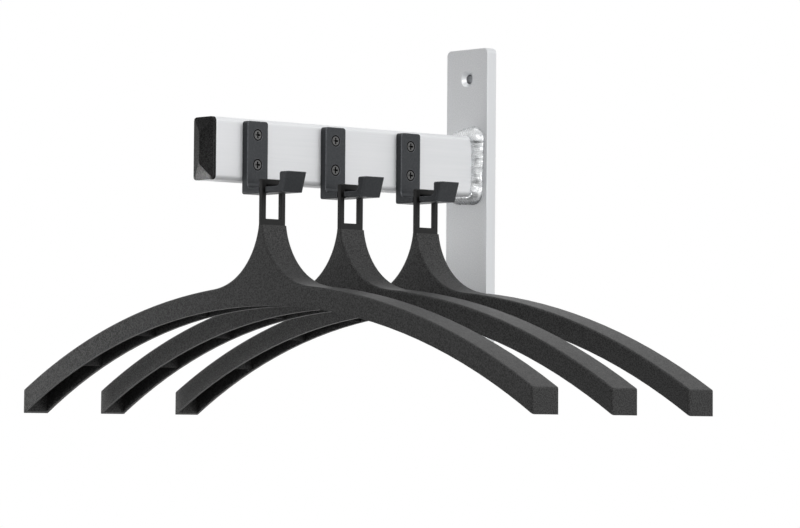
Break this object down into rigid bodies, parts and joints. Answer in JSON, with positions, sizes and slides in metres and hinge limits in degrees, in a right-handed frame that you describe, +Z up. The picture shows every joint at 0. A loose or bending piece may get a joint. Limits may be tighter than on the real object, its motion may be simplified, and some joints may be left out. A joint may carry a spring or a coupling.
{
  "type": "wall coat rack",
  "caption": "Wall coat rack: an upright plate with a welded arm at right angles to the wall, side hooks, and captive hangers that sway on them.",
  "frame": {"origin": "on the wall, at the back face of the plate, on the axis of the arm", "axes": "+Z up, +Y into the wall, the arm runs out along -Y, +X to the right for someone who faces the wall"},
  "size_m": [0.496, 0.2388, 0.2468],
  "materials": {
    "plate_aluminium": "satin, fine pearl-blasted",
    "tube_aluminium": "satin anodised",
    "weld_metal": "bright rippled weld",
    "cap_plastic": "moulded, fine grain",
    "hook_coating": "black anodised",
    "screw_steel": "black zinc",
    "eye_plastic": "smooth moulded",
    "hanger_plastic": "moulded, fine grain"
  },
  "bodies": {
    "rack": {"wall_plate": "plate_aluminium", "arm_tube": "tube_aluminium", "weld_bead": "weld_metal", "end_cap": "cap_plastic", "front_hook": "hook_coating", "middle_hook": "hook_coating", "rear_hook": "hook_coating", "hook_screws": "screw_steel"},
    "front_hanger": {"front_hanger": "hanger_plastic", "front_eye": "eye_plastic"},
    "middle_hanger": {"middle_hanger": "hanger_plastic", "middle_eye": "eye_plastic"},
    "rear_hanger": {"rear_hanger": "hanger_plastic", "rear_eye": "eye_plastic"}
  },
  "joints": [
    {"name": "front_sway", "type": "hinge", "parent": "rack", "child": "front_hanger", "pos_m": [0.0297, -0.203, -0.02255], "axis": [0, 1, 0], "range_deg": [-15, 15]},
    {"name": "middle_sway", "type": "hinge", "parent": "rack", "child": "middle_hanger", "pos_m": [0.0297, -0.1375, -0.02255], "axis": [0, 1, 0], "range_deg": [-15, 15]},
    {"name": "rear_sway", "type": "hinge", "parent": "rack", "child": "rear_hanger", "pos_m": [0.0297, -0.072, -0.02255], "axis": [0, 1, 0], "range_deg": [-15, 15]}
  ]
}
